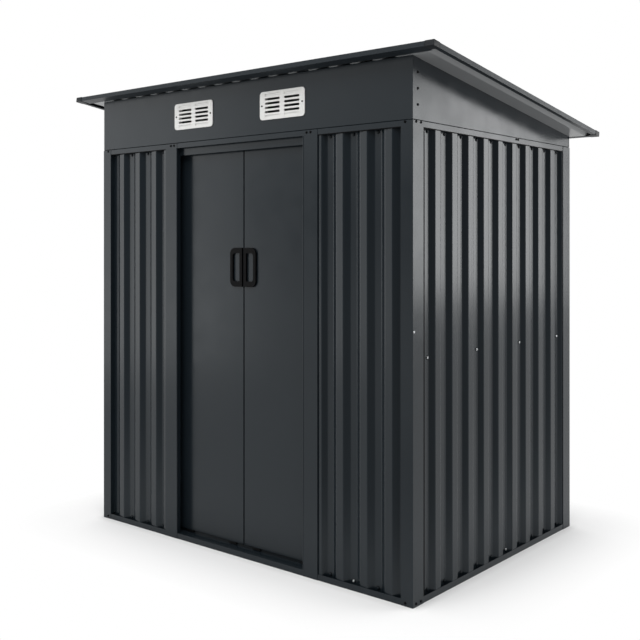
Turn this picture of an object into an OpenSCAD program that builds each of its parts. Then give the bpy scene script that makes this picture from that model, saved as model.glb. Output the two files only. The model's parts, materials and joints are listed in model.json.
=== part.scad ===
// Metal storage shed with a single-slope roof and two sliding doors.
// X runs to the right, Y to the rear and Z up. The origin is on the ground, under the middle of the roof.

/* [Walls] */
// Width across the outside of the corner posts
wall_w = 1617; // [1500:1:1900]
// Depth across the outside of the corner posts
wall_d = 1172; // [1000:1:1500]
// Height from the ground to the top of the top rails
wall_h = 1596; // [1450:1:1750]
// Height of the front fascia above the top rails
fascia_h = 208; // [170:1:300]
// Height of the rear fascia above the top rails
rear_fascia_h = 44; // [20:1:120]
// Depth of the fascia's folded side returns
fascia_return = 45; // [30:1:58]
// Depth of the flat flange at the foot of the fascias and gables
foot_flange = 18; // [10:1:20]

/* [Sheets] */
// Thickness of the ribbed and flat sheets
sheet_t = 1; // [0.8:0.1:1.3]
// Thickness of the folded frame sections
frame_t = 1.2; // [1:0.1:1.6]
// Depth of the wall ribs
rib_depth = 16; // [12:0.5:20]
// Width of a wall rib's flat crest
rib_crest = 35; // [28:1:40]
// Width of a wall rib's slope
rib_slope = 19; // [14:1:22]
// Distance from a sheet's bend line to where its curve starts
bend_r = 4; // [2:0.5:6]
// Spacing of the ribs on the side and rear walls, fitted to a whole number of ribs
rib_pitch = 108; // [100:1:130]
// Distance from a corner to the first rib of the side and rear walls
rib_end = 47; // [42:1:60]
// Distance from the left corner to the left front panel's first rib
front_rib_left = 118; // [103:1:130]
// Distance from the right corner to the right front panel's first rib
front_rib_right = 101; // [98:1:125]
// Spacing of the ribs on the front wall
front_rib_pitch = 104; // [85:1:120]
// Setback of the front ribs behind the face of the posts
front_rib_setback = 2.5; // [2.5:0.5:12]
// Width of the front panels' end crests that shows beside the jambs
front_end_show = 18; // [8:1:20]
// Width of the slope from the front panels' end crests down to the valley
front_end_slope = 12; // [10:1:16]
// Lean of the front panels' crests, which turns them a little to the left on both panels
crest_lean = 7; // [2:0.5:8]

/* [Frame] */
// Width of a corner post's faces
post_w = 62; // [55:1:66]
// Width of the front face of the front posts
post_front_w = 48; // [45:1:54]
// Height of the base rails' outer lip and of the door sill
base_h = 22; // [16:1:30]
// Depth of the base rails' ground flange
base_flange = 42; // [38:1:50]
// Height of the base rails' upstand behind the sheets, above their lip
base_upstand = 24; // [12:1:40]
// Radius of the anchor holes in the ground flanges
anchor_r = 4; // [3:0.5:5]
// Distance from the front or rear wall to the nearest anchor hole
anchor_inset = 200; // [120:1:300]
// Height of the top rails' outer lip
top_lip = 22; // [16:1:30]
// Height of the top rails' inner flange
top_flange = 51; // [40:1:58]
// Height of the bend along the top of the rails, which leaves a groove under the fascias and gables
rail_bend = 3; // [2:0.5:4]
// Height of the middle of the wall braces
brace_z = 810; // [600:1:1000]
// Height of a wall brace
brace_h = 40; // [30:1:60]
// Depth of a wall brace
brace_d = 18; // [12:1:22]
// Gap between the ends of the wall braces and the corners
brace_end = 90; // [70:1:140]

/* [Doorway] */
// Clear width of the doorway between the jambs
doorway_w = 670; // [620:1:700]
// Width of a jamb's face
jamb_w = 68; // [50:1:72]
// Setback of the doors behind the face of the posts
door_setback = 43; // [42:0.5:48]
// Depth of a door leaf
door_depth = 18; // [14:0.5:22]
// Gap between the two closed doors
door_gap = 6; // [4:0.5:10]
// How far a closed door reaches behind its jamb
door_overlap = 30; // [20:1:40]
// Height of the doors' lower edge above the base rail
door_lift = 12; // [10:0.5:16]
// Height of a door's stiffening channels
stiffener_h = 60; // [50:1:80]

/* [Door track] */
// Distance from the top of the walls down to the top of the door track
track_drop = 10; // [6:1:14]
// Height of the door track
track_h = 46; // [42:1:50]
// Gap between the ends of the door track and the corners
track_end = 60; // [45:1:80]
// Space between a door leaf and the track's ledge
track_clear = 5; // [5:0.5:8]
// Depth of the ledge that the glides run on
track_ledge = 14; // [12:0.5:18]
// Height of the track's front lip
track_lip = 25; // [23:1:38]
// Space between the track's front lip and the doors
track_lip_clear = 6; // [5:0.5:7]
// Thickness of the guide rib on the front base rail
guide_t = 3; // [2:0.5:4]
// Height of the guide rib
guide_h = 8; // [6:0.5:9]
// Running clearance of the glides
glide_clear = 0.3; // [0.2:0.05:0.5]
// Width of a glide
glide_w = 40; // [30:1:60]
// Height of an upper glide
glide_h = 16; // [12:1:18]
// Depth of a lower guide shoe
shoe_d = 14; // [12:0.5:16]
// Distance from a door's edges to its glides
glide_inset = 40; // [30:1:80]

/* [Handles] */
// Width of a door handle
handle_w = 64; // [50:1:68]
// Height of a door handle
handle_h = 150; // [120:1:180]
// Width of a handle's upright bars
handle_bar = 13.5; // [10:0.5:17]
// Height of a handle's end bars
handle_end = 21; // [12:0.5:24]
// Depth of a handle
handle_d = 7.5; // [6:0.5:10]
// Height of the middle of the handles
handle_z = 1098; // [900:1:1200]
// Distance from a door's meeting edge to its handle
handle_inset = 1; // [0.5:0.5:8]
// Corner radius on a handle's outer side
handle_r = 24; // [10:1:28]
// Corner radius on a handle's side next to the meeting edge
handle_small_r = 4; // [2:0.5:6]

/* [Vents] */
// Width of a vent
vent_w = 219; // [190:1:230]
// Height of a vent
vent_h = 104; // [100:1:120]
// Distance from the middle of the shed to the middle of a vent
vent_x = 236; // [180:1:320]
// Height of the middle of the vents above the top rails
vent_z = 102; // [80:1:108]
// Thickness of a vent's face plate
vent_t = 4; // [3:0.5:6]
// Corner radius of a vent
vent_r = 13; // [6:1:18]
// Width of one slot
slot_w = 73; // [60:1:76]
// Height of one slot
slot_h = 8.5; // [5:0.5:9]
// Spacing of the slots
slot_pitch = 15.6; // [13:0.1:16]
// Slots in one column
slot_rows = 4; // [3:1:4]
// Width of the bar between the two columns of slots
mullion_w = 22; // [16:1:26]
// Depth of the blind grooves above and below the slots
groove_depth = 2.5; // [1:0.1:3]
// Depth of the collar and blades behind a vent
collar_d = 14; // [10:1:20]
// Wall thickness of the collar
collar_t = 2; // [1.5:0.1:2.5]
// Thickness of a louvre blade
blade_t = 1.6; // [1.2:0.1:2]
// Slope of the louvre blades
blade_angle = 35; // [25:1:45]

/* [Roof] */
// Reach of the roof beyond the side walls
side_overhang = 117; // [60:1:160]
// Reach of the roof in front of the front wall
front_overhang = 58; // [40:1:110]
// Reach of the roof behind the rear wall
rear_overhang = 28; // [26:1:80]
// Depth of the roof ribs
roof_rib_depth = 14; // [10:0.5:20]
// Width of a roof rib's flat crest
roof_rib_crest = 32; // [24:1:40]
// Width of a roof rib's slope
roof_rib_slope = 14; // [8:1:18]
// Spacing of the roof ribs, fitted to a whole number of ribs
roof_rib_pitch = 95; // [85:1:110]
// Distance from the side walls to the outermost roof ribs
roof_rib_end = 96; // [60:1:120]
// Width of the raised edges at the sides of the roof
roof_edge_w = 39; // [32:1:44]
// Depth of the roof trims' flanges
trim_reach = 18; // [12:1:22]
// Gap between the front trim's lower flange and the fascia
trim_gap = 12; // [8:1:18]
// Length of the caps on the corners of the roof
cap_w = 34; // [26:1:50]
// How far the corner caps stand proud of the trims
cap_proud = 1.5; // [0.5:0.5:3]
// Height of a roof beam
beam_h = 30; // [20:1:40]
// Width of a roof beam
beam_w = 25; // [18:1:35]
// Number of roof beams
roof_beam_count = 2; // [1:1:3]

/* [Hidden] */
$fn = 48;

anthracite = "#43484b";
black = "#17181a";
white = "#f1f1ee";
nylon = "#1e2022";

// Roof plane: its underside passes the front wall's face at wall_h + fascia_h
roof_angle = atan((fascia_h - rear_fascia_h) / wall_d);
roof_w = wall_w + 2 * side_overhang;
roof_front = -front_overhang / cos(roof_angle);
roof_rear = (wall_d + rear_overhang) / cos(roof_angle);
crest_top = roof_rib_depth + sheet_t;
trim_top = crest_top + frame_t;
cap_bottom = -frame_t - cap_proud;
cap_top = trim_top + cap_proud;

// The walls lie in Y so that the roof is centred over the origin
front_reach = -(roof_front - cap_proud) * cos(roof_angle) - cap_bottom * sin(roof_angle);
rear_reach = (roof_rear + cap_proud) * cos(roof_angle) + cap_top * sin(roof_angle) - wall_d;
front_y = (front_reach - rear_reach - wall_d) / 2;
rear_y = front_y + wall_d;

// Depths behind the outer face of a wall
lip_back = 2 * frame_t;
valley_face = lip_back + rib_depth;
valley_back = valley_face + sheet_t;
rail_back = valley_back + frame_t;
front_valley_face = front_rib_setback + rib_depth;
front_valley_back = front_valley_face + sheet_t;
front_rail_back = front_valley_back + frame_t;
gable_face = frame_t + sheet_t;
gable_back = gable_face + sheet_t;

// Rib counts and the ribs at which one sheet laps over the next
side_gaps = round((wall_d - 2 * rib_end) / rib_pitch);
side_lap = ceil(side_gaps / 2) + 1;
rear_gaps = round((wall_w - 2 * rib_end) / rib_pitch);
rear_lap_left = round(rear_gaps / 3);
rear_lap_right = rear_gaps - rear_lap_left;
roof_gaps = round((wall_w - 2 * roof_rib_end) / roof_rib_pitch);
roof_step = (wall_w - 2 * roof_rib_end) / roof_gaps;
roof_lap_left = round(roof_gaps / 3);
roof_lap_right = roof_gaps - roof_lap_left;

// Heights of the wall sheets
sheet_low = frame_t;
sheet_high = wall_h - frame_t - rail_bend;

// Doorway, measured from the left corner of the front wall
jamb_in = (wall_w - doorway_w) / 2;
jamb_out = jamb_in - jamb_w;
front_end_edge = jamb_out - front_end_show;
front_end_foot = front_end_edge - front_end_slope;
front_rib_foot = rib_crest / 2 + rib_slope + 2 * bend_r;

// Doors and their track
door_back = door_setback + door_depth;
door_w = (doorway_w - door_gap) / 2 + door_overlap;
door_low = base_h + door_lift;
track_top = wall_h - track_drop;
track_low = track_top - track_h;
track_back = door_back + track_clear + track_ledge;
track_lip_back = door_setback - track_lip_clear;
door_high = track_top - frame_t - door_lift - guide_h;
sill_back = track_back - track_ledge;
guide_v = door_setback + door_depth / 2;
glide_back = track_back - frame_t - track_clear * glide_clear;

// Lists and folded outlines
function reverse(list) = [for (i = [len(list) - 1 : -1 : 0]) list[i]];
function unit(v) = v / norm(v);
function right_of(v) = [v.y, -v.x];

// Direction of the segment that arrives at, or leaves, point i of a line
function arriving(line, i) = unit(line[max(i, 1)] - line[max(i, 1) - 1]);
function leaving(line, i) = unit(line[min(i + 1, len(line) - 1)] - line[min(i, len(line) - 2)]);

// Point i of a line moved to its right by t, with mitred corners
function moved(line, i, t) =
    let (a = right_of(arriving(line, i)), b = right_of(leaving(line, i)))
    line[i] + t * (a + b) / (1 + a * b);

// Outline of a folded section: a line of its outer face, thickened to its right
function folded(line, t) = concat(line, reverse([for (i = [0 : len(line) - 1]) moved(line, i, t)]));

// A line with each bend eased by a short curve
function eased(line) = concat(
    [line[0]],
    [for (i = [1 : len(line) - 2])
        let (a = line[i] - bend_r * arriving(line, i), b = line[i] + bend_r * leaving(line, i))
        each [a, (a + 2 * line[i] + b) / 4, b]],
    [line[len(line) - 1]]);

// Outline of a bent sheet: a line of one face, thickened along the second axis
function thickened(line) = concat(line, reverse([for (p = line) p + [0, sheet_t]]));

// Outline of a ribbed sheet with eased bends
function ribbed(line) = thickened(eased(line));

// Two points of a rib's rising side, and two of its falling side
function rib_rise(c, crest, slope, foot, top) = [[c - crest / 2 - slope, foot], [c - crest / 2, top]];
function rib_fall(c, crest, slope, foot, top) = [[c + crest / 2, top], [c + crest / 2 + slope, foot]];
function wall_rise(c, foot, top) = rib_rise(c, rib_crest, rib_slope, foot, top);
function wall_fall(c, foot, top) = rib_fall(c, rib_crest, rib_slope, foot, top);
function roof_rise(c, top) = rib_rise(c, roof_rib_crest, roof_rib_slope, 0, top);
function roof_fall(c, top) = rib_fall(c, roof_rib_crest, roof_rib_slope, 0, top);

// Outer face of a wall sheet from rib `first` to rib `last`, counted in steps of `pitch`
function wall_line(first, last, pitch, start, end, end_drop) = concat(
    [[start, lip_back]],
    wall_fall(rib_end + first * pitch, valley_face, lip_back),
    [for (i = [first + 1 : 1 : last - 1])
        each concat(
            wall_rise(rib_end + i * pitch, valley_face, lip_back),
            wall_fall(rib_end + i * pitch, valley_face, lip_back))],
    wall_rise(rib_end + last * pitch, valley_face, lip_back + end_drop),
    [[end, lip_back + end_drop]]);

// Place of roof rib i, and whole roof ribs from `first` to `last`
function roof_rib_x(i) = (i - roof_gaps / 2) * roof_step;
function roof_line(first, last) = [
    for (i = [first : 1 : last])
        each concat(roof_rise(roof_rib_x(i), roof_rib_depth), roof_fall(roof_rib_x(i), roof_rib_depth))];

// Height of the roof's underside at a distance behind the front wall's face
function roof_z(v) = wall_h + fascia_h - v * tan(roof_angle);

// Rounded plate outline, with one radius for each corner from the first quadrant round
function rounded_plate(w, h, r) = [
    for (q = [0 : 3])
        for (a = [q * 90 : 15 : q * 90 + 90])
            [(q == 0 || q == 3 ? 1 : -1) * (w / 2 - r[q]) + r[q] * cos(a),
             (q < 2 ? 1 : -1) * (h / 2 - r[q]) + r[q] * sin(a)]];

// Wall frames: first axis along the wall from its left or front corner, second into the shed, third up
module front_frame() {
    translate([-wall_w / 2, front_y, 0]) children();
}

module side_frame() {
    translate([-wall_w / 2, front_y, 0]) mirror([1, -1, 0]) children();
}

module rear_frame() {
    translate([-wall_w / 2, rear_y, 0]) mirror([0, 1, 0]) children();
}

// Roof frame: second axis down the slope from the front wall's face, third square to the roof
module roof_frame() {
    translate([0, front_y, wall_h + fascia_h]) rotate([-roof_angle, 0, 0]) children();
}

module to_right() {
    mirror([1, 0, 0]) children();
}

module to_rear() {
    translate([0, front_y + rear_y, 0]) mirror([0, 1, 0]) children();
}

// A section drawn in depth and height, run along the first axis
module run(from, to) {
    translate([from, 0, 0]) rotate([90, 0, 90]) linear_extrude(to - from) children();
}

// A shape drawn along the first axis and in height, thickened into the second axis
module upright(from, to) {
    translate([0, to, 0]) rotate([90, 0, 0]) linear_extrude(to - from) children();
}

// Base rails
// A channel that the sheets stand in, with a flange on the ground inside it
module base_rail(from, to) {
    union() {
        run(from, to) polygon(folded([
            [frame_t, base_h], [frame_t, 0], [rail_back, 0], [rail_back, base_h + base_upstand]], -frame_t));
        run(from, to) translate([frame_t, 0]) square([base_flange - frame_t, frame_t]);
    }
}

module base_rail_left() {
    color(anthracite) side_frame() difference() {
        base_rail(frame_t, wall_d - frame_t);
        for (u = [anchor_inset, wall_d - anchor_inset])
            translate([u, (rail_back + base_flange) / 2, -frame_t])
                cylinder(r = anchor_r, h = 3 * frame_t);
    }
}

module base_rail_rear() {
    color(anthracite) rear_frame() base_rail(base_flange, wall_w - base_flange);
}

// A channel for the front panels, a ledge behind it for the doors' guide rib, and a sill across the doorway
module base_rail_front() {
    ledge_low = base_h - frame_t;
    sill_end = jamb_in - frame_t;
    color(anthracite) front_frame() union() {
        run(base_flange, wall_w - base_flange) polygon(folded([
            [frame_t, base_h], [frame_t, 0], [front_rail_back, 0], [front_rail_back, ledge_low],
            [sill_back - frame_t, ledge_low], [sill_back - frame_t, 0]], -frame_t));
        run(sill_end, wall_w - sill_end)
            translate([frame_t, ledge_low]) square([front_rail_back - frame_t, frame_t]);
        run(base_flange, wall_w - base_flange)
            translate([guide_v - guide_t / 2, ledge_low]) square([guide_t, guide_h + frame_t]);
    }
}

// Posts and jambs
module corner_post_rear_left() {
    color(anthracite) to_rear() front_frame() linear_extrude(wall_h - rail_bend)
        polygon(folded([[0, post_w], [0, 0], [post_w, 0]], -frame_t));
}

// A folded return that reaches from a face plate back to the front wall's sheet
module front_return(u, back) {
    translate([u, 0, base_h]) cube([frame_t, back, wall_h - top_lip - base_h]);
}

module corner_post_front_left() {
    color(anthracite) front_frame() {
        linear_extrude(wall_h - rail_bend)
            polygon(folded([[0, post_w], [0, 0], [post_front_w, 0]], -frame_t));
        front_return(post_front_w - frame_t, front_valley_face);
    }
}

module door_jamb_left() {
    color(anthracite) front_frame() {
        translate([jamb_out, 0, 0]) cube([jamb_w, frame_t, wall_h - rail_bend]);
        front_return(jamb_in - frame_t, front_valley_back);
    }
}

// Wall sheets
// A front panel drawn from the left corner; a positive lean sets the left edge of each crest back
module front_panel(start, lean) {
    last = floor((front_end_foot - front_rib_foot - start) / front_rib_pitch);
    set_back = tan(max(lean, 0));
    set_back_far = tan(max(-lean, 0));
    end_depth = lip_back + front_end_show * set_back_far;
    color(anthracite) front_frame() translate([0, 0, sheet_low]) linear_extrude(sheet_high - sheet_low)
        polygon(ribbed(concat(
            [[rail_back, front_valley_face]],
            [for (i = [0 : last])
                let (c = start + i * front_rib_pitch)
                each concat(
                    wall_rise(c, front_valley_face, front_rib_setback + rib_crest * set_back),
                    wall_fall(c, front_valley_face, front_rib_setback + rib_crest * set_back_far))],
            [[front_end_foot, front_valley_face], [front_end_edge, lip_back + front_end_show * set_back],
             [jamb_out, end_depth], [jamb_in - frame_t, end_depth]])));
}

module front_panel_left() {
    front_panel(front_rib_left, crest_lean);
}

module front_panel_right() {
    to_right() front_panel(front_rib_right, -crest_lean);
}

module wall_sheet(line) {
    color(anthracite) translate([0, 0, sheet_low]) linear_extrude(sheet_high - sheet_low)
        polygon(ribbed(line));
}

side_pitch = (wall_d - 2 * rib_end) / side_gaps;
rear_pitch = (wall_w - 2 * rib_end) / rear_gaps;

module left_wall_front_sheet() {
    lap_end = rib_end + side_lap * side_pitch + rib_crest / 2 - bend_r;
    side_frame() wall_sheet(wall_line(0, side_lap, side_pitch, lip_back, lap_end, sheet_t));
}

module left_wall_rear_sheet() {
    lap_start = rib_end + side_lap * side_pitch - rib_crest / 2;
    side_frame() wall_sheet(wall_line(side_lap, side_gaps, side_pitch, lap_start, wall_d - lip_back, 0));
}

module rear_wall_left_sheet() {
    lap_end = rib_end + rear_lap_left * rear_pitch + rib_crest / 2 - bend_r;
    rear_frame() wall_sheet(wall_line(0, rear_lap_left, rear_pitch, rail_back, lap_end, sheet_t));
}

module rear_wall_centre_sheet() {
    lap_start = rib_end + rear_lap_left * rear_pitch - rib_crest / 2;
    lap_end = rib_end + rear_lap_right * rear_pitch + rib_crest / 2 - bend_r;
    rear_frame() wall_sheet(
        wall_line(rear_lap_left, rear_lap_right, rear_pitch, lap_start, lap_end, sheet_t));
}

module rear_wall_right_sheet() {
    lap_start = rib_end + rear_lap_right * rear_pitch - rib_crest / 2;
    rear_frame() wall_sheet(
        wall_line(rear_lap_right, rear_gaps, rear_pitch, lap_start, wall_w - rail_back, 0));
}

// Channels inside the walls that tie the sheets together at half height
module brace_section() {
    low = brace_z - brace_h / 2;
    polygon(folded([
        [valley_back + brace_d, low], [valley_back, low],
        [valley_back, low + brace_h], [valley_back + brace_d, low + brace_h]], frame_t));
}

module wall_braces() {
    color(anthracite) {
        side_frame() run(brace_end, wall_d - brace_end) brace_section();
        to_right() side_frame() run(brace_end, wall_d - brace_end) brace_section();
        rear_frame() run(brace_end, wall_w - brace_end) brace_section();
    }
}

// Top rails
module top_rail_section(back) {
    polygon(folded([
        [frame_t, wall_h - top_lip], [frame_t, wall_h - rail_bend], [frame_t + rail_bend, wall_h],
        [back, wall_h], [back, wall_h - top_flange]], frame_t));
}

module top_rail_left() {
    color(anthracite) side_frame() run(frame_t, wall_d - frame_t) top_rail_section(rail_back);
}

module top_rail_front() {
    color(anthracite) front_frame() run(rail_back, wall_w - rail_back) top_rail_section(front_rail_back);
}

module top_rail_rear() {
    color(anthracite) rear_frame() run(rail_back, wall_w - rail_back) top_rail_section(rail_back);
}

// Fascias and gables
module fascia_return_left() {
    side_frame() upright(frame_t, gable_face) polygon([
        [frame_t, wall_h], [fascia_return, wall_h],
        [fascia_return, roof_z(fascia_return)], [frame_t, roof_z(frame_t)]]);
}

vent_opening_w = 2 * slot_w + mullion_w + 2 * collar_t;
vent_opening_h = (slot_rows + 1) * slot_pitch + 2 * collar_t;

module front_fascia() {
    color(anthracite) {
        difference() {
            front_frame() run(frame_t, wall_w - frame_t) polygon([
                [frame_t, wall_h], [gable_face, wall_h], [gable_face, roof_z(gable_face)],
                [frame_t, roof_z(frame_t)]]);
            for (x = [-vent_x, vent_x])
                translate([x, front_y + gable_face, wall_h + vent_z]) cube([
                    vent_opening_w + 2 * glide_clear, 4 * gable_face, vent_opening_h + 2 * glide_clear],
                    center = true);
        }
        front_frame() translate([post_w, frame_t, wall_h]) cube([wall_w - 2 * post_w, foot_flange, sheet_t]);
        fascia_return_left();
        to_right() fascia_return_left();
    }
}

module rear_fascia() {
    color(anthracite) rear_frame() {
        run(frame_t, wall_w - frame_t) polygon([
            [frame_t, wall_h], [gable_face, wall_h], [gable_face, roof_z(wall_d - gable_face)],
            [frame_t, roof_z(wall_d - frame_t)]]);
        translate([post_w, frame_t, wall_h]) cube([wall_w - 2 * post_w, foot_flange, sheet_t]);
    }
}

module gable_left() {
    color(anthracite) side_frame() {
        upright(gable_face, gable_back) polygon([
            [gable_face, wall_h], [wall_d - gable_face, wall_h],
            [wall_d - gable_face, roof_z(wall_d - gable_face)], [gable_face, roof_z(gable_face)]]);
        translate([post_w, gable_face, wall_h]) cube([wall_d - 2 * post_w, foot_flange - sheet_t, sheet_t]);
    }
}

// Louvred vents: a face plate on the fascia, and a collar with sloping blades behind it
function slot_z(i) = (i - (slot_rows + 1) / 2) * slot_pitch;

module slot_shapes(rows) {
    for (i = rows)
        for (side = [-1, 1])
            translate([side * (slot_w + mullion_w) / 2 - slot_w / 2, slot_z(i) - slot_h / 2])
                square([slot_w, slot_h]);
}

module vent_left() {
    inner_w = vent_opening_w - 2 * collar_t;
    inner_h = vent_opening_h - 2 * collar_t;
    color(white) translate([-vent_x, front_y + frame_t, wall_h + vent_z]) {
        difference() {
            upright(-vent_t, 0) difference() {
                polygon(rounded_plate(vent_w, vent_h, [vent_r, vent_r, vent_r, vent_r]));
                slot_shapes([1 : slot_rows]);
            }
            upright(-vent_t - groove_depth, groove_depth - vent_t) slot_shapes([0, slot_rows + 1]);
        }
        upright(0, collar_d) difference() {
            square([vent_opening_w, vent_opening_h], center = true);
            square([inner_w, inner_h], center = true);
        }
        for (i = [1 : slot_rows])
            translate([0, 0, slot_z(i) + slot_h / 2]) run(-inner_w / 2, inner_w / 2) polygon([
                [0, 0], [collar_d, collar_d * tan(blade_angle) / 2],
                [collar_d, collar_d * tan(blade_angle) / 2 + blade_t], [0, blade_t]]);
    }
}

// Roof
module roof_beams() {
    half = wall_w / 2 - gable_back;
    step = wall_d / (roof_beam_count + 1) / cos(roof_angle);
    color(anthracite) roof_frame()
        for (i = [1 : roof_beam_count])
            translate([0, i * step, 0]) run(-half, half) polygon(folded([
                [beam_w, -beam_h], [0, -beam_h], [0, 0], [beam_w, 0]], frame_t));
}

roof_edge = roof_w / 2 - frame_t;
roof_edge_top = roof_w / 2 - roof_edge_w;
roof_edge_foot = roof_edge_top - roof_rib_slope;

module roof_sheet(line) {
    color(anthracite) roof_frame() upright(roof_front + frame_t, roof_rear - frame_t) polygon(ribbed(line));
}

module roof_sheet_left() {
    lap = roof_rib_x(roof_lap_left);
    roof_sheet(concat(
        [[-roof_edge, roof_rib_depth], [-roof_edge_top, roof_rib_depth], [-roof_edge_foot, 0]],
        roof_line(0, roof_lap_left - 1), roof_rise(lap, roof_rib_depth - sheet_t),
        [[lap + roof_rib_crest / 2 - bend_r, roof_rib_depth - sheet_t]]));
}

module roof_sheet_centre() {
    start = roof_rib_x(roof_lap_left);
    end = roof_rib_x(roof_lap_right);
    roof_sheet(concat(
        [[start - roof_rib_crest / 2, roof_rib_depth]], roof_fall(start, roof_rib_depth),
        roof_line(roof_lap_left + 1, roof_lap_right - 1), roof_rise(end, roof_rib_depth - sheet_t),
        [[end + roof_rib_crest / 2 - bend_r, roof_rib_depth - sheet_t]]));
}

module roof_sheet_right() {
    lap = roof_rib_x(roof_lap_right);
    roof_sheet(concat(
        [[lap - roof_rib_crest / 2, roof_rib_depth]], roof_fall(lap, roof_rib_depth),
        roof_line(roof_lap_right + 1, roof_gaps),
        [[roof_edge_foot, 0], [roof_edge_top, roof_rib_depth], [roof_edge, roof_rib_depth]]));
}

module trim_section(edge, under) {
    polygon(folded([
        [edge + under, -frame_t], [edge, -frame_t],
        [edge, trim_top], [edge + trim_reach, trim_top]], frame_t));
}

module roof_trim_front() {
    color(anthracite) roof_frame() run(cap_w - roof_w / 2, roof_w / 2 - cap_w)
        trim_section(roof_front, -roof_front - trim_gap);
}

module roof_trim_rear() {
    color(anthracite) roof_frame() mirror([0, 1, 0])
        run(cap_w - roof_w / 2, roof_w / 2 - cap_w) trim_section(-roof_rear, trim_reach);
}

module roof_trim_left() {
    color(anthracite) roof_frame() upright(roof_front + cap_w, roof_rear - cap_w)
        trim_section(-roof_w / 2, trim_reach);
}

// One cap over the front left corner: a box with a pocket for the corner of the sheet
module corner_cap() {
    outer = cap_w + cap_proud;
    wall = cap_proud + frame_t;
    translate([-roof_w / 2 - cap_proud, -cap_proud, cap_bottom]) difference() {
        cube([outer, outer, cap_top - cap_bottom]);
        translate([wall, wall, -cap_bottom]) cube([outer, outer, crest_top]);
    }
}

module roof_corner_caps() {
    color(black) roof_frame()
        for (side = [0, 1])
            mirror([side, 0, 0]) {
                translate([0, roof_front, 0]) corner_cap();
                translate([0, roof_rear, 0]) mirror([0, 1, 0]) corner_cap();
            }
}

// Sliding doors and the track that they hang from
module door_track() {
    color(anthracite) front_frame() union() {
        run(track_end, wall_w - track_end) polygon(folded([
            [front_rail_back, wall_h - top_flange], [front_rail_back, track_top], [track_back, track_top],
            [track_back, track_low], [track_back - track_ledge, track_low]], frame_t));
        run(track_end, wall_w - track_end)
            translate([track_lip_back - frame_t, track_top - track_lip]) square([frame_t, track_lip]);
    }
}

// Door frame: first axis from the meeting line towards the left jamb, second into the shed
module left_door_frame() {
    translate([-door_gap / 2, front_y, 0]) mirror([1, 0, 0]) children();
}

module left_door_leaf() {
    inner_w = door_w - 2 * sheet_t;
    inner_h = door_high - door_low - 2 * sheet_t;
    color(anthracite) left_door_frame() translate([0, door_setback, door_low]) difference() {
        cube([door_w, door_depth, door_high - door_low]);
        translate([sheet_t, sheet_t, sheet_t]) cube([inner_w, door_depth, inner_h]);
    }
}

module stiffener(low) {
    run(sheet_t, door_w - sheet_t) polygon(folded([
        [door_setback + sheet_t, low], [door_back, low],
        [door_back, low + stiffener_h], [door_setback + sheet_t, low + stiffener_h]], -frame_t));
}

module left_door_stiffeners() {
    color(anthracite) left_door_frame()
        for (low = [
            door_low + sheet_t, (door_low + door_high - stiffener_h) / 2, door_high - sheet_t - stiffener_h])
            stiffener(low);
}

module left_door_handle() {
    outer_r = [handle_r, handle_small_r, handle_small_r, handle_r];
    inner_r = [for (r = outer_r) max(r - handle_bar, handle_small_r / 2)];
    color(black) left_door_frame() translate([handle_inset + handle_w / 2, 0, handle_z])
        upright(door_setback - handle_d, door_setback) difference() {
            polygon(rounded_plate(handle_w, handle_h, outer_r));
            polygon(rounded_plate(handle_w - 2 * handle_bar, handle_h - 2 * handle_end, inner_r));
        }
}

module left_door_glides() {
    slot_t = guide_t + 2 * glide_clear;
    slot_top = base_h + guide_h + 2 * glide_clear;
    shoe_low = base_h + guide_h / 4;
    color(nylon) left_door_frame()
        for (u = [glide_inset, door_w - glide_inset - glide_w]) {
            translate([u, door_back, track_low + frame_t + glide_clear])
                cube([glide_w, glide_back - door_back, glide_h]);
            difference() {
                translate([u, guide_v - shoe_d / 2, shoe_low]) cube([glide_w, shoe_d, door_low - shoe_low]);
                translate([u - glide_w, guide_v - slot_t / 2, 0]) cube([3 * glide_w, slot_t, slot_top]);
            }
        }
}

base_rail_front();
base_rail_rear();
base_rail_left();
to_right() base_rail_left();  // base_rail_right
corner_post_front_left();
to_right() corner_post_front_left();  // corner_post_front_right
corner_post_rear_left();
to_right() corner_post_rear_left();  // corner_post_rear_right
door_jamb_left();
to_right() door_jamb_left();  // door_jamb_right
front_panel_left();
front_panel_right();
left_wall_front_sheet();
left_wall_rear_sheet();
to_right() left_wall_front_sheet();  // right_wall_front_sheet
to_right() left_wall_rear_sheet();  // right_wall_rear_sheet
rear_wall_left_sheet();
rear_wall_centre_sheet();
rear_wall_right_sheet();
wall_braces();
top_rail_front();
top_rail_rear();
top_rail_left();
to_right() top_rail_left();  // top_rail_right
front_fascia();
rear_fascia();
gable_left();
to_right() gable_left();  // gable_right
vent_left();
to_right() vent_left();  // vent_right
roof_beams();
roof_sheet_left();
roof_sheet_centre();
roof_sheet_right();
roof_trim_front();
roof_trim_rear();
roof_trim_left();
to_right() roof_trim_left();  // roof_trim_right
roof_corner_caps();
door_track();
left_door_leaf();
left_door_stiffeners();
left_door_handle();
left_door_glides();
to_right() left_door_leaf();  // right_door_leaf
to_right() left_door_stiffeners();  // right_door_stiffeners
to_right() left_door_handle();  // right_door_handle
to_right() left_door_glides();  // right_door_glides
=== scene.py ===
import json
import math

import bmesh
import bpy
from mathutils import Matrix, Vector


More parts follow.
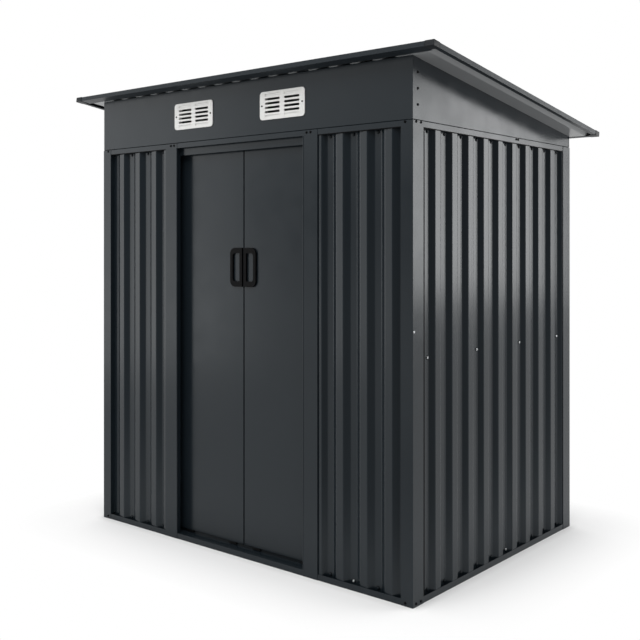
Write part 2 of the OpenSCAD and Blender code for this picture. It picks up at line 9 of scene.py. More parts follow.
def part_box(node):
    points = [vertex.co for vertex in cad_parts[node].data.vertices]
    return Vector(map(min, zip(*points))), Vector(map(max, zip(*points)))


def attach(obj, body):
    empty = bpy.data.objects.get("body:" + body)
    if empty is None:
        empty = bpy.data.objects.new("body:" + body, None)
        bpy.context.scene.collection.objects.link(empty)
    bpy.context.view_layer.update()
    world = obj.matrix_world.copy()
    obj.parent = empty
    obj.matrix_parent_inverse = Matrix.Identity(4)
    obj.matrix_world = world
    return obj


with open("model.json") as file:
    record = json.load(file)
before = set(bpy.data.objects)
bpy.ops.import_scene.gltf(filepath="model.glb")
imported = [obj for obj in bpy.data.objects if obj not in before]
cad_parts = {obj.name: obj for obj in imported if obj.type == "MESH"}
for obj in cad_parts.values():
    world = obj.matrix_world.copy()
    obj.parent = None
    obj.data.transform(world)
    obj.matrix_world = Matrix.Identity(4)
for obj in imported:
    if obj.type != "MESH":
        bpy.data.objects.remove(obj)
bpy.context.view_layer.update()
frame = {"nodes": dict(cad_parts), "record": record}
nodes = frame["nodes"]

# Axes of the frame: X to the right, Y to the rear, Z up
RIGHT = Vector((1, 0, 0))
REAR = Vector((0, 1, 0))
UP = Vector((0, 0, 1))

# Camera: level, turned to the shed's near corner, with a lens shift that keeps its uprights upright
CAMERA_PLACE = (2.5318, -3.1192, 1.1859)
CAMERA_TURN = math.radians(39.7276)
CAMERA_LENS = 52.907
CAMERA_SENSOR = 36.0
CAMERA_SHIFT_Y = -0.11804

# The sRGB curve: a straight foot below the knee, and a power above it
SRGB_KNEE = 0.04045
SRGB_FOOT = 12.92
SRGB_LIFT = 0.055
SRGB_POWER = 2.4


def linear(red, green, blue):
    """A display colour, 0 to 255, as linear light."""
    def one(value):
        share = value / 255
        if share <= SRGB_KNEE:
            return share / SRGB_FOOT
        return ((share + SRGB_LIFT) / (1 + SRGB_LIFT)) ** SRGB_POWER
    return (one(red), one(green), one(blue), 1.0)


# Shader nodes; most values of a noise lie between its low and its high one
NOISE_LOW = 0.3
NOISE_HIGH = 0.7
SMOOTH_DETAIL = 1.0
MIXED_DETAIL = 3.0

# Sockets of the Mix node that belong to colours
MIX_SHARE = 0
MIX_FIRST = 6
MIX_SECOND = 7
MIX_RESULT = 2


def node(tree, kind, inputs=None, **settings):
    """A node with its settings and its input values or links."""
    made = tree.nodes.new(kind)
    for key, value in settings.items():
        setattr(made, key, value)
    for key, value in (inputs or {}).items():
        if isinstance(value, bpy.types.NodeSocket):
            tree.links.new(value, made.inputs[key])
        else:
            made.inputs[key].default_value = value
    return made


def noise(tree, where, scale=1.0, detail=2.0):
    made = node(tree, "ShaderNodeTexNoise", {"Vector": where, "Scale": scale, "Detail": detail})
    return made.outputs["Fac"]


def stretched(tree, where, scale):
    return node(tree, "ShaderNodeMapping", {"Vector": where, "Scale": scale}).outputs["Vector"]


def spread(tree, value, low, high, start=NOISE_LOW, end=NOISE_HIGH):
    """A value mapped from start and end to low and high."""
    made = node(tree, "ShaderNodeMapRange", {
        "Value": value, "From Min": start, "From Max": end, "To Min": low, "To Max": high})
    return made.outputs["Result"]


def blended(tree, share, first, second):
    made = node(
        tree, "ShaderNodeMix", {MIX_SHARE: share, MIX_FIRST: first, MIX_SECOND: second}, data_type="RGBA")
    return made.outputs[MIX_RESULT]


def bumped(tree, height, strength, distance, under=None):
    inputs = {"Height": height, "Strength": strength, "Distance": distance}
    if under is not None:
        inputs["Normal"] = under
    return node(tree, "ShaderNodeBump", inputs).outputs["Normal"]


def vector_step(tree, first, operation, second=(0.0, 0.0, 0.0), result="Vector"):
    made = node(tree, "ShaderNodeVectorMath", {0: first, 1: second}, operation=operation)
    return made.outputs[result]


def along_way(tree, vector, way):
    """How far a vector goes along a way."""
    return vector_step(tree, vector, "DOT_PRODUCT", way, "Value")


def larger(tree, first, second):
    return node(tree, "ShaderNodeMath", {0: first, 1: second}, operation="MAXIMUM").outputs["Value"]


def new_material(name):
    """A node material with its tree, its main shader and the piece's own coordinates."""
    made = bpy.data.materials.new(name)
    made.use_nodes = True
    tree = made.node_tree
    shader = tree.nodes["Principled BSDF"]
    where = tree.nodes.new("ShaderNodeTexCoord").outputs["Object"]
    return made, tree, shader, where


def wire(tree, shader, **links):
    for name, socket in links.items():
        tree.links.new(socket, shader.inputs[name.replace("_", " ")])


# Paint; scales of noise are per metre, and heights of bumps in metres
PAINT_DARK = linear(24, 30, 35)
PAINT_LIGHT = linear(27, 34, 39)
BACK_DARK = linear(124, 126, 127)
BACK_LIGHT = linear(137, 139, 140)
PAINT_SHINE = 0.29
PAINT_TINT = (0.94, 0.98, 1.0, 1.0)
PAINT_ROUGH = 0.2
PAINT_ROUGH_SPREAD = 0.07
TRIM_ROUGH = 0.42
PAINT_TONE_SCALE = 2.2
PEEL_SCALE = 620.0
PEEL_STRENGTH = 0.04
PEEL_HEIGHT = 0.0003
WAVE_SCALE = 3.4
WAVE_HEIGHT = 0.01
FRAME_WAVES = 0.03
SHEET_WAVES = 0.02
UPRIGHT_GRAIN = (70.0, 70.0, 1.6)
SLOPE_GRAIN = (70.0, 1.6, 70.0)
FLAT_GRAIN = (12.0, 12.0, 12.0)
TURN_BLEND = 0.01


def outside(tree, facing):
    """1 on the faces of a sheet that turn the way it faces, and 0 on its back."""
    normal = tree.nodes.new("ShaderNodeNewGeometry").outputs["True Normal"]
    return spread(tree, along_way(tree, normal, facing), 0.0, 1.0, -TURN_BLEND, TURN_BLEND)


def paint(name, grain, waves, facing=None, rough=PAINT_ROUGH):
    """Semi-gloss anthracite paint: faint roll marks along the grain, orange peel, and waves in thin sheet.
    Sheets that face one way have a pale coat on their back."""
    made, tree, shader, where = new_material(name)
    marks = noise(tree, stretched(tree, where, grain), detail=MIXED_DETAIL)
    tone = noise(tree, where, PAINT_TONE_SCALE, MIXED_DETAIL)
    peel = noise(tree, where, PEEL_SCALE, SMOOTH_DETAIL)
    wave = noise(tree, where, WAVE_SCALE, SMOOTH_DETAIL)
    normal = bumped(tree, wave, waves, WAVE_HEIGHT)
    normal = bumped(tree, peel, PEEL_STRENGTH, PEEL_HEIGHT, normal)
    colour = blended(tree, tone, PAINT_DARK, PAINT_LIGHT)
    if facing is not None:
        back = blended(tree, tone, BACK_DARK, BACK_LIGHT)
        colour = blended(tree, outside(tree, facing), back, colour)
    wire(tree, shader,
         Base_Color=colour,
         Roughness=spread(tree, marks, rough, rough + PAINT_ROUGH_SPREAD),
         Normal=normal)
    shader.inputs["Specular IOR Level"].default_value = PAINT_SHINE
    shader.inputs["Specular Tint"].default_value = PAINT_TINT
    return made


flat_paint = paint("flat_paint", FLAT_GRAIN, FRAME_WAVES)
trim_paint = paint("trim_paint", FLAT_GRAIN, SHEET_WAVES, rough=TRIM_ROUGH)
sheet_paint = {
    "front_panel": paint("front_paint", UPRIGHT_GRAIN, SHEET_WAVES, -REAR),
    "rear_wall": paint("rear_paint", UPRIGHT_GRAIN, SHEET_WAVES, REAR),
    "left_wall": paint("left_paint", UPRIGHT_GRAIN, SHEET_WAVES, -RIGHT),
    "right_wall": paint("right_paint", UPRIGHT_GRAIN, SHEET_WAVES, RIGHT),
    "roof_sheet": paint("roof_paint", SLOPE_GRAIN, SHEET_WAVES, UP)}


# Plastics and rubber
PLASTIC_TONE_SCALE = 14.0
PLASTIC_ROUGH_SPREAD = 0.05
PLASTIC_GRAIN_STRENGTH = 0.25


def moulded(name, dark, light, rough, grain, depth, shine=0.5):
    """Moulded plastic: a fine moulded grain and a slightly uneven tone."""
    made, tree, shader, where = new_material(name)
    tone = noise(tree, where, PLASTIC_TONE_SCALE, MIXED_DETAIL)
    fine = noise(tree, where, grain)
    wire(tree, shader,
         Base_Color=blended(tree, tone, dark, light),
         Roughness=spread(tree, fine, rough - PLASTIC_ROUGH_SPREAD, rough + PLASTIC_ROUGH_SPREAD),
         Normal=bumped(tree, fine, PLASTIC_GRAIN_STRENGTH, depth))
    shader.inputs["Specular IOR Level"].default_value = shine
    return made


white_plastic = moulded(
    "white_plastic", linear(220, 220, 217), linear(229, 229, 227), rough=0.42, grain=900.0, depth=0.0002)
black_plastic = moulded(
    "black_plastic", linear(4, 4, 5), linear(8, 8, 9), rough=0.42, grain=700.0, depth=0.0003, shine=0.06)
nylon = moulded(
    "nylon", linear(12, 12, 13), linear(17, 17, 18), rough=0.5, grain=500.0, depth=0.0002, shine=0.1)
cap_plastic = moulded(
    "cap_plastic", linear(27, 30, 33), linear(34, 37, 40), rough=0.45, grain=700.0, depth=0.0003, shine=0.2)
# Black rubber for the washers, and for the seal strips that paint the shade lines at the posts and top rails
rubber = moulded(
    "rubber", linear(5, 5, 6), linear(9, 9, 10), rough=0.6, grain=1200.0, depth=0.0002, shine=0.05)


# Zinc
ZINC_DARK = linear(196, 198, 200)
ZINC_LIGHT = linear(216, 218, 219)
ZINC_ROUGH = (0.28, 0.45)
SPANGLE_SCALE = 900.0
SCRATCH_GRAIN = (4000.0, 300.0, 4000.0)
SCRATCH_STRENGTH = 0.1
SCRATCH_HEIGHT = 0.0001


def zinc(name):
    """Zinc-plated steel: a faint spangle and fine scratches."""
    made, tree, shader, where = new_material(name)
    spangle = node(tree, "ShaderNodeTexVoronoi", {"Vector": where, "Scale": SPANGLE_SCALE})
    scratch = noise(tree, stretched(tree, where, SCRATCH_GRAIN))
    wire(tree, shader,
         Base_Color=blended(tree, spangle.outputs["Distance"], ZINC_DARK, ZINC_LIGHT),
         Roughness=spread(tree, scratch, *ZINC_ROUGH),
         Normal=bumped(tree, scratch, SCRATCH_STRENGTH, SCRATCH_HEIGHT))
    shader.inputs["Metallic"].default_value = 1.0
    return made


zinc_plate = zinc("zinc_plate")


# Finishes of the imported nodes
SLOT_FINISH = {
    "painted_steel": flat_paint,
    "vent_plastic": white_plastic,
    "black_plastic": black_plastic,
    "nylon": nylon}


def finish_of(name, slot):
    for start, finish in sheet_paint.items():
        if name.startswith(start):
            return finish
    if name.startswith("roof_trim"):
        return trim_paint
    if name == "roof_corner_caps":
        return cap_plastic
    return SLOT_FINISH[slot]


# Edges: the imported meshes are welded, their outer edges eased, and bends shaded smooth by angle
EASED_EDGE = {"vent_plastic": 0.0009, "black_plastic": 0.0025, "nylon": 0.0015, "painted_steel": 0.0004}
EASE_SEGMENTS = 2
EASE_ABOVE = math.radians(50)
SMOOTH_BELOW = math.radians(32)
WELD_REACH = 0.00005
FLAT_WEIGHT = 100


def soft_shading():
    """A modifier group that drops imported normals and shades bends below an angle smooth."""
    group = bpy.data.node_groups.new("soft_shading", "GeometryNodeTree")
    group.interface.new_socket("Geometry", in_out="INPUT", socket_type="NodeSocketGeometry")
    group.interface.new_socket("Geometry", in_out="OUTPUT", socket_type="NodeSocketGeometry")
    start = group.nodes.new("NodeGroupInput")
    end = group.nodes.new("NodeGroupOutput")
    bare = node(group, "GeometryNodeRemoveAttribute", {
        "Geometry": start.outputs[0], "Name": "custom_normal"})
    faces = node(group, "GeometryNodeSetShadeSmooth", {
        "Geometry": bare.outputs[0], "Shade Smooth": True}, domain="FACE")
    angle = group.nodes.new("GeometryNodeInputMeshEdgeAngle").outputs["Unsigned Angle"]
    below = node(group, "FunctionNodeCompare", {0: angle, 1: SMOOTH_BELOW}, operation="LESS_THAN")
    edges = node(group, "GeometryNodeSetShadeSmooth", {
        "Geometry": faces.outputs[0], "Shade Smooth": below.outputs[0]}, domain="EDGE")
    group.links.new(edges.outputs[0], end.inputs[0])
    return group


shading = soft_shading()


def dress(name, slot):
    """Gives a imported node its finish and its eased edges."""
    made = nodes[name]
    made.data.materials.clear()
    made.data.materials.append(finish_of(name, slot))
    weld = made.modifiers.new("weld", "WELD")
    weld.merge_threshold = WELD_REACH
    ease = made.modifiers.new("ease", "BEVEL")
    ease.width = EASED_EDGE[slot]
    ease.segments = EASE_SEGMENTS
    ease.limit_method = "ANGLE"
    ease.angle_limit = EASE_ABOVE
    made.modifiers.new("shade", "NODES").node_group = shading
    even = made.modifiers.new("even", "WEIGHTED_NORMAL")
    even.weight = FLAT_WEIGHT
    even.keep_sharp = True


for row in frame["record"]["subparts"]:
    dress(row["node"], row["material_slot"])


# New meshes
def mesh_data(name, mesh):
    """The data of a working mesh, which is freed."""
    data = bpy.data.meshes.new(name)
    mesh.to_mesh(data)
    mesh.free()
    return data


def linked(name, data, finishes):
    """A new object in the scene, from a mesh's data and its finishes."""
    for finish in finishes:
        data.materials.append(finish)
    made = bpy.data.objects.new(name, data)
    bpy.context.scene.collection.objects.link(made)
    return made


# Screws, in metres: a domed head with a cross recess, on a thin washer
SCREW_SIDES = 16
HEAD_R = 0.0045
HEAD_H = 0.0028
WASHER_R = 0.0065
WASHER_H = 0.0012
RECESS_REACH = 0.0022
RECESS_HALF = 0.0005
RECESS_DEPTH = 0.0012
TURN_STEP = math.radians(137.5)
HEAD_SLOT = 0
WASHER_SLOT = 1

# Sections of the head and the washer, as shares of radius and height from the foot up
HEAD_SECTION = ((1, 0), (1, 0.35), (0.9, 0.7), (0.66, 1))
WASHER_SECTION = ((1, 0), (1, 0.6), (0.9, 1))
WASHER_HOLE_R = 0.9 * HEAD_R


def ring(mesh, radius, height):
    """A ring of vertices about Z."""
    step = 2 * math.pi / SCREW_SIDES
    return [
        mesh.verts.new((radius * math.cos(i * step), radius * math.sin(i * step), height))
        for i in range(SCREW_SIDES)]


def skin(mesh, low, high, slot):
    """Faces between two rings."""
    for i in range(SCREW_SIDES):
        after = (i + 1) % SCREW_SIDES
        mesh.faces.new((low[i], low[after], high[after], high[i])).material_index = slot


def turned(mesh, section, slot):
    """A skin turned about Z through points of radius and height; gives its last ring."""
    rings = [ring(mesh, radius, height) for radius, height in section]
    for low, high in zip(rings, rings[1:]):
        skin(mesh, low, high, slot)
    return rings[-1]


def cross_outline():
    """Corners of the cross recess, anticlockwise."""
    arm = ((RECESS_REACH, -RECESS_HALF), (RECESS_REACH, RECESS_HALF), (RECESS_HALF, RECESS_HALF))
    turns = [Matrix.Rotation(quarter * math.pi / 2, 2) for quarter in range(4)]
    return [turn @ Vector(corner) for turn in turns for corner in arm]


def loop_edges(mesh, loop):
    return [mesh.edges.get((loop[i - 1], loop[i])) or mesh.edges.new((loop[i - 1], loop[i]))
            for i in range(len(loop))]


def cross_recess(mesh, rim, top):
    """Closes a head within its rim, with a cross recess."""
    mouth = [mesh.verts.new((corner.x, corner.y, top)) for corner in cross_outline()]
    bmesh.ops.bridge_loops(mesh, edges=loop_edges(mesh, rim) + loop_edges(mesh, mouth))
    sunk = [mesh.verts.new((corner.x, corner.y, top - RECESS_DEPTH)) for corner in cross_outline()]
    for i in range(len(mouth)):
        mesh.faces.new((mouth[i - 1], mouth[i], sunk[i], sunk[i - 1]))
    mesh.faces.new(sunk)


def screw_shape(washer):
    """One screw about Z, standing on the plane through the origin."""
    mesh = bmesh.new()
    seat = 0.0
    if washer:
        seat = WASHER_H
        section = [(WASHER_R * radius, WASHER_H * height) for radius, height in WASHER_SECTION]
        turned(mesh, section + [(WASHER_HOLE_R, WASHER_H)], WASHER_SLOT)
    section = [(HEAD_R * radius, seat + HEAD_H * height) for radius, height in HEAD_SECTION]
    cross_recess(mesh, turned(mesh, section, HEAD_SLOT), seat + HEAD_H)
    bmesh.ops.recalc_face_normals(mesh, faces=mesh.faces)
    for face in mesh.faces:
        face.smooth = True
    return mesh


def standing(point, facing, turn, scale):
    """Places a screw at a point, with its axis along facing."""
    axis = facing.to_track_quat("Z", "Y").to_matrix().to_4x4()
    return Matrix.Translation(point) @ axis @ Matrix.Rotation(turn, 4, "Z") @ Matrix.Scale(scale, 4)


def screws(name, spots, finishes, washer=True, scale=1.0):
    """One joined mesh of screws; spots are points with the way that they face."""
    single = mesh_data(name + "_single", screw_shape(washer))
    joined = bmesh.new()
    for i, (point, facing) in enumerate(spots):
        placed = single.copy()
        placed.transform(standing(point, facing, i * TURN_STEP, scale))
        joined.from_mesh(placed)
        bpy.data.meshes.remove(placed)
    bpy.data.meshes.remove(single)
    made = linked(name, mesh_data(name, joined), finishes)
    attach(made, "shed")


def mirrored(spots):
    """The spots and their mirror images on the other side of the shed."""
    return spots + [
        (Vector((-point.x, point.y, point.z)), Vector((-facing.x, facing.y, facing.z)))
        for point, facing in spots]


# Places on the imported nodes
wall_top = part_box("top_rail_right")[1].z
wall_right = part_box("corner_post_front_right")[1].x
wall_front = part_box("corner_post_front_right")[0].y
post_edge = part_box("corner_post_front_right")[1].y
front_post_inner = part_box("corner_post_front_right")[0].x
rear_post_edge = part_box("corner_post_rear_right")[0].y
jamb_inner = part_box("door_jamb_right")[0].x
jamb_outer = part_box("door_jamb_right")[1].x


def side_spot(behind, z):
    return Vector((wall_right, wall_front + behind, z)), RIGHT


def front_spot(x, z):
    return Vector((x, wall_front, z)), -REAR


# Flats of the ribbed sheets, found by the way that their faces turn
FLAT_COSINE = 0.9999
MILLIMETRES = 1000
DEPTH_DIGITS = 1
SPAN_DIGITS = 4


def flats(name, along, facing):
    """Spans, along one way, of a sheet's flats that face another way, by their depth in millimetres."""
    mesh = nodes[name].data
    found = {}
    for face in mesh.polygons:
        if face.normal.dot(facing) > FLAT_COSINE:
            depth = round(face.center.dot(facing) * MILLIMETRES, DEPTH_DIGITS)
            ends = [mesh.vertices[i].co.dot(along) for i in face.vertices]
            span = (round(min(ends), SPAN_DIGITS), round(max(ends), SPAN_DIGITS))
            found.setdefault(depth, set()).add(span)
    return found


def valleys(names, along, facing):
    """Valley flats of a wall's sheets in order: their spans along the wall, and their depth."""
    spans = []
    for name in names:
        found = flats(name, along, facing)
        depth = min(found)
        spans += [(start, end, depth / MILLIMETRES) for start, end in found[depth]]
    return sorted(spans)


# Screws in the walls' valleys: heights and drops in metres, and shares of a valley off its middle
TOP_ROW_DROP = 0.031
BASE_ROW_Z = 0.028
BRACE_ROW_Z = 0.806
BRACE_ROW_STEP = 3
MIDDLE = 0.0
OFF_MIDDLE = 0.35
BASE_ROW = (BASE_ROW_Z,)
BRACE_ROW = (BRACE_ROW_Z,)
ROWS = (BASE_ROW_Z, wall_top - TOP_ROW_DROP)

# Places, counted from 0 in the base row, of the two screws there that are bare
BARE_IN_FRONT = 1
BARE_IN_SIDE = 5

# Walls: their sheets, the way along them, the way that they face, and where screws sit in a valley
SIDE_WALL = (("right_wall_front_sheet", "right_wall_rear_sheet"), REAR, RIGHT, OFF_MIDDLE)
FRONT_WALL = (("front_panel_left", "front_panel_right"), RIGHT, -REAR, MIDDLE)
FRONT_RIGHT = (("front_panel_right",), RIGHT, -REAR, MIDDLE)
REAR_SHEETS = ("rear_wall_left_sheet", "rear_wall_centre_sheet", "rear_wall_right_sheet")
REAR_WALL = (REAR_SHEETS, RIGHT, REAR, MIDDLE)


def valley_screws(wall, heights, step=1):
    """Screws in each valley of a wall, or in each one of some, at the given heights."""
    names, along, facing, share = wall
    spots = []
    for start, end, depth in valleys(names, along, facing)[::step]:
        place = (start + end) / 2 + share * (end - start)
        for z in heights:
            spots.append((along * place + facing * depth + UP * z, facing))
    return spots


def bare_screw(wall, place):
    return valley_screws(wall, BASE_ROW)[place:place + 1]


row_spots = mirrored(valley_screws(SIDE_WALL, ROWS))
row_spots += valley_screws(FRONT_WALL, ROWS)
row_spots += valley_screws(REAR_WALL, ROWS)
bare_spots = bare_screw(FRONT_RIGHT, BARE_IN_FRONT) + bare_screw(SIDE_WALL, BARE_IN_SIDE)
screws("row_screws", [spot for spot in row_spots if spot not in bare_spots], (flat_paint, rubber))

brace_spots = mirrored(valley_screws(SIDE_WALL, BRACE_ROW, BRACE_ROW_STEP))
brace_spots += valley_screws(REAR_WALL, BRACE_ROW, BRACE_ROW_STEP)
screws("brace_screws", brace_spots + bare_spots, (zinc_plate, rubber))


# Screws of the frame, in metres: distances behind the front or from an edge, heights, and drops from the top
POST_EDGE_SPOT = (0.005, 0.90)
POST_EDGE_SCALE = 0.9
POST_TOP_DROP = 0.008
POST_FOOT_Z = 0.011
POST_SIDE_SPOTS = (0.019, 0.047)
POST_FRONT_SPOT = 0.031
JAMB_SPOTS = (0.0175, 0.036)
JAMB_TOP_DROP = 0.011
RETURN_SPOT = 0.030
RETURN_HEIGHTS = (0.049, 0.102, 0.155)
RAIL_JOINT = (0.704, 0.720)


def frame_spots():
    """Screws at the ends of the posts and jambs, in the fascia's return and at the top rail's joint."""
    post_top = wall_top - POST_TOP_DROP
    spots = [side_spot(spot, post_top) for spot in POST_SIDE_SPOTS]
    spots += [side_spot(spot, POST_FOOT_Z) for spot in POST_SIDE_SPOTS]
    spots += [front_spot(wall_right - POST_FRONT_SPOT, z) for z in (POST_FOOT_Z, post_top)]
    spots += [front_spot(jamb_inner + spot, wall_top - JAMB_TOP_DROP) for spot in JAMB_SPOTS]
    return_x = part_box("front_fascia")[1].x
    return_y = wall_front + RETURN_SPOT
    spots += [(Vector((return_x, return_y, wall_top + height)), RIGHT) for height in RETURN_HEIGHTS]
    rail_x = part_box("top_rail_right")[1].x
    spots += [(Vector((rail_x, wall_front + spot, post_top)), RIGHT) for spot in RAIL_JOINT]
    return spots


post_spots = [side_spot(*POST_EDGE_SPOT)]
screws("post_screws", mirrored(post_spots), (zinc_plate,), washer=False, scale=POST_EDGE_SCALE)
screws("frame_screws", mirrored(frame_spots()), (black_plastic,), washer=False)


# Screws of the vents
VENT_SCREW_INSET = 0.011
VENT_SCREW_SCALE = 0.75


def vent_spots():
    """Screws at the two ends of the right vent."""
    low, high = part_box("vent_right")
    middle = (low.z + high.z) / 2
    ends = (low.x + VENT_SCREW_INSET, high.x - VENT_SCREW_INSET)
    return [(Vector((x, low.y, middle)), -REAR) for x in ends]


screws("vent_screws", mirrored(vent_spots()), (black_plastic,), washer=False, scale=VENT_SCREW_SCALE)


# Screws of the roof
ROOF_SHEETS = [name for name in nodes if name.startswith("roof_sheet")]


def roof_spots():
    """Screws through the roof's valleys into the beams."""
    widest = max(nodes["roof_sheet_centre"].data.polygons, key=lambda face: face.area * (face.normal.z > 0))
    facing = widest.normal.copy()
    slope = facing.cross(RIGHT)
    beam_flats = flats("roof_beams", slope, facing)
    rows = [(start + end) / 2 for start, end in beam_flats[max(beam_flats)]]
    spots = []
    for start, end, depth in valleys(ROOF_SHEETS, RIGHT, facing):
        for place in rows:
            spots.append((RIGHT * ((start + end) / 2) + slope * place + facing * depth, facing))
    return spots


screws("roof_screws", roof_spots(), (zinc_plate, rubber))


# Strips along edges, in metres; a point of an outline is its reach past the edge and its depth behind
# the face, and a seal has a tongue between the frame and the sheet; the seals are black strips that
# paint the dark shade lines beside the posts and under the top rails
RAIL_FACE = 0.022
BASE_FACE = 0.022
TONGUE_START = -0.0012
TONGUE_FRONT = 0.00125
TONGUE_BACK = 0.00235
TONGUE_END = 0.0036
BULB_MIDDLE = (0.0058, 0.0030)
BULB_R = 0.0027
BULB_HALF_TURN = 140
BULB_ARC = 10
LIP_REACH = 0.0032
HEM_R = 0.0034
HEM_SET = 0.0021
HEM_ARC = 20


def shade_seal_profile():
    """Outline of a bulb seal and its tongue: a black strip that paints the dark shade line beside a post's
    edge.
    """
    turns = [math.radians(BULB_HALF_TURN * (2 * i / BULB_ARC - 1)) for i in range(BULB_ARC + 1)]
    reach, depth = BULB_MIDDLE
    tongue = [(TONGUE_START, TONGUE_BACK), (TONGUE_START, TONGUE_FRONT), (TONGUE_END, TONGUE_FRONT)]
    return tongue + [(reach + BULB_R * math.cos(turn), depth + BULB_R * math.sin(turn)) for turn in turns]


def shade_lip_profile():
    """Outline of a flat seal that shows below an edge: a black strip that paints the dark shade line under a
    top rail.
    """
    return [(TONGUE_START, TONGUE_BACK), (TONGUE_START, TONGUE_FRONT),
            (LIP_REACH, TONGUE_FRONT), (LIP_REACH, TONGUE_BACK)]


def hem_profile():
    """Outline of an edge that is rolled round."""
    turns = [2 * math.pi * i / HEM_ARC for i in range(HEM_ARC)]
    return [(HEM_R * math.cos(turn) - HEM_SET, HEM_R * math.sin(turn) + HEM_SET) for turn in turns]


def strips(name, profile, runs, finish):
    """One joined mesh of strips; a run is an edge's ends, the way past it and the way behind its face."""
    mesh = bmesh.new()
    for ends, past, behind in runs:
        rings = [
            [mesh.verts.new(end + past * reach + behind * depth) for reach, depth in profile]
            for end in ends]
        for i in range(len(profile)):
            mesh.faces.new((rings[0][i - 1], rings[0][i], rings[1][i], rings[1][i - 1])).smooth = True
        for loop in rings:
            mesh.faces.new(loop)
    bmesh.ops.recalc_face_normals(mesh, faces=mesh.faces)
    data = mesh_data(name, mesh)
    data.set_sharp_from_angle(angle=SMOOTH_BELOW)
    made = linked(name, data, (finish,))
    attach(made, "shed")


rail_foot = wall_top - RAIL_FACE


def upright_edge(x, y):
    """From the base rail's face up to the top rail's."""
    return Vector((x, y, BASE_FACE)), Vector((x, y, rail_foot))


def rail_edge(first, second):
    """Along the foot of a top rail's face, between two places."""
    return Vector((*first, rail_foot)), Vector((*second, rail_foot))


# Runs of the black seal strips that paint the shade lines beside the posts and under the top rails, and of
# the jamb hems
post_shade_runs = []
rail_shade_runs = []
hem_runs = []
for side in (-1, 1):
    wall_x = side * wall_right
    inward = RIGHT * -side
    front_ends = [(side * x, wall_front) for x in (jamb_outer, front_post_inner)]
    post_shade_runs.append((upright_edge(wall_x, post_edge), REAR, inward))
    rail_shade_runs.append((rail_edge((wall_x, post_edge), (wall_x, rear_post_edge)), -UP, inward))
    rail_shade_runs.append((rail_edge(*front_ends), -UP, REAR))
    hem_runs.append((upright_edge(side * jamb_inner, wall_front), inward, REAR))
strips("post_shade_seals", shade_seal_profile(), post_shade_runs, rubber)
strips("rail_shade_lips", shade_lip_profile(), rail_shade_runs, rubber)
strips("jamb_hems", hem_profile(), hem_runs, flat_paint)


# Room: white at the backdrop and dim behind the camera, which itself sees white all round
BACK_WAY = Vector((-math.sin(CAMERA_TURN), math.cos(CAMERA_TURN), 0))
WHITE = (1.0, 1.0, 1.0, 1.0)


def room_level(tree, vector, dim, span):
    """1 toward the backdrop, and dim toward the camera; the span is where it changes."""
    return spread(tree, along_way(tree, vector, BACK_WAY), dim, 1.0, *span)


def white_to_camera(tree, level):
    """A level that is 1 for what the camera sees itself or through glass."""
    path = tree.nodes.new("ShaderNodeLightPath").outputs
    return larger(tree, level, larger(tree, path["Is Camera Ray"], path["Is Transmission Ray"]))


# Floor: pale and plain, with a faint glow, fading to white away from the walls; lengths in metres.
# The glow is nil at the walls and full a short way off, a painted shade along their foot on top of the real
# shadow there
FLOOR_REACH = 60.0
FLOOR_CELLS = 8
FLOOR_TONE = (0.85, 0.85, 0.85, 1.0)
FLOOR_GLOW = 0.11
PAINTED_SHADE_REACH = 0.04
FADE_FROM = 0.06
FADE_TO = 0.36

# The floor is dim where both its direction and its distance are on the camera's side
FLOOR_DIM = 0.4
DIM_DIRECTIONS = (-0.8, -0.45)
DIM_DISTANCES = (-2.0, -0.8)


def beyond_walls(tree, where):
    """Distance of a point of the floor from the shed's walls."""
    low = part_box("base_rail_left")[0]
    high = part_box("base_rail_right")[1]
    from_middle = vector_step(tree, vector_step(tree, where, "SUBTRACT", (low + high) / 2), "ABSOLUTE")
    past = vector_step(tree, vector_step(tree, from_middle, "SUBTRACT", (high - low) / 2), "MAXIMUM")
    return vector_step(tree, past, "LENGTH", result="Value")


def floor_level(tree, where):
    """How white the floor is away from the walls."""
    by_direction = room_level(tree, vector_step(tree, where, "NORMALIZE"), FLOOR_DIM, DIM_DIRECTIONS)
    by_distance = room_level(tree, where, FLOOR_DIM, DIM_DISTANCES)
    return white_to_camera(tree, larger(tree, by_direction, by_distance))


def floor_finish():
    made, tree, shader, where = new_material("floor_white")
    tree.nodes.remove(shader)
    past = beyond_walls(tree, where)
    far = spread(tree, past, 0.0, 1.0, FADE_FROM, FADE_TO)
    # The glow rises from nil at the walls: a painted shade along their foot
    level = spread(tree, past, 0.0, FLOOR_GLOW, 0.0, PAINTED_SHADE_REACH)
    lit = node(tree, "ShaderNodeBsdfDiffuse", {"Color": FLOOR_TONE})
    glow = node(tree, "ShaderNodeEmission", {"Color": WHITE, "Strength": level})
    near = node(tree, "ShaderNodeAddShader", {0: lit.outputs[0], 1: glow.outputs[0]})
    white = node(tree, "ShaderNodeEmission", {"Color": WHITE, "Strength": floor_level(tree, where)})
    both = node(tree, "ShaderNodeMixShader", {0: far, 1: near.outputs[0], 2: white.outputs[0]})
    tree.links.new(both.outputs[0], tree.nodes["Material Output"].inputs["Surface"])
    return made


def floor():
    mesh = bmesh.new()
    bmesh.ops.create_grid(mesh, x_segments=FLOOR_CELLS, y_segments=FLOOR_CELLS, size=FLOOR_REACH)
    made = linked("floor", mesh_data("floor", mesh), (floor_finish(),))


floor()


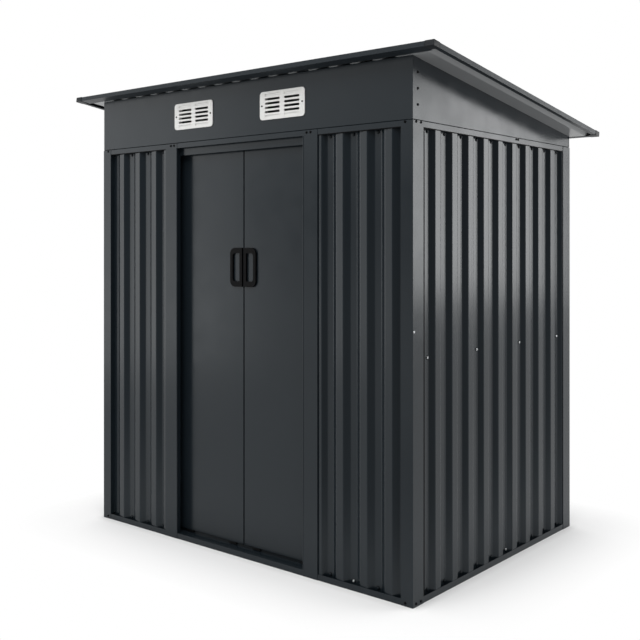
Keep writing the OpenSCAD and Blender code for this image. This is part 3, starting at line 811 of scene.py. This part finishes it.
# Light: the room itself, and softboxes that light it; lengths in metres
STUDIO_DIM = 0.2
STUDIO_DIRECTIONS = (-0.45, 0.35)
SOFTBOXES = {
    "right_softbox": {
        "place": (3.75, 3.05, 1.64), "target": (1.2, 0.0, 1.4), "width": 3.0, "height": 1.74, "glow": 4.6},
    "left_softbox": {
        "place": (-4.0, -3.1, 1.5), "target": (0.0, -0.57, 1.2), "width": 2.2, "height": 2.8, "glow": 1.3},
    "front_fill": {
        "place": (-2.3, -4.6, 2.8), "target": (0.7, -0.57, 1.75), "width": 2.2, "height": 1.8, "glow": 0.75},
    "top_fill": {
        "place": (1.0, -2.6, 4.8), "target": (0.0, -0.3, 0.6), "width": 4.0, "height": 3.0, "glow": 4.4}}


def studio_world():
    world = bpy.data.worlds.new("studio")
    bpy.context.scene.world = world
    world.use_nodes = True
    tree = world.node_tree
    tree.nodes.clear()
    way = tree.nodes.new("ShaderNodeTexCoord").outputs["Generated"]
    level = white_to_camera(tree, room_level(tree, way, STUDIO_DIM, STUDIO_DIRECTIONS))
    shown = node(tree, "ShaderNodeBackground", {"Color": WHITE, "Strength": level})
    node(tree, "ShaderNodeOutputWorld", {"Surface": shown.outputs[0]})


def softbox(name, place, target, width, height, glow):
    """A rectangular light; its glow is 1 where a mirror of it would just show white."""
    light = bpy.data.lights.new(name, "AREA")
    light.shape = "RECTANGLE"
    light.size = width
    light.size_y = height
    light.energy = glow * math.pi * width * height
    made = bpy.data.objects.new(name, light)
    made.location = place
    made.rotation_euler = (Vector(target) - Vector(place)).to_track_quat("-Z", "Y").to_euler()
    made.visible_camera = False
    bpy.context.scene.collection.objects.link(made)


studio_world()
for box_name, settings in SOFTBOXES.items():
    softbox(box_name, **settings)


def camera():
    data = bpy.data.cameras.new("camera")
    data.lens = CAMERA_LENS
    data.sensor_width = CAMERA_SENSOR
    data.shift_y = CAMERA_SHIFT_Y
    made = bpy.data.objects.new("camera", data)
    made.location = CAMERA_PLACE
    made.rotation_euler = (math.pi / 2, 0, CAMERA_TURN)
    bpy.context.scene.collection.objects.link(made)
    bpy.context.scene.camera = made


camera()
bpy.context.scene.view_settings.view_transform = "Standard"
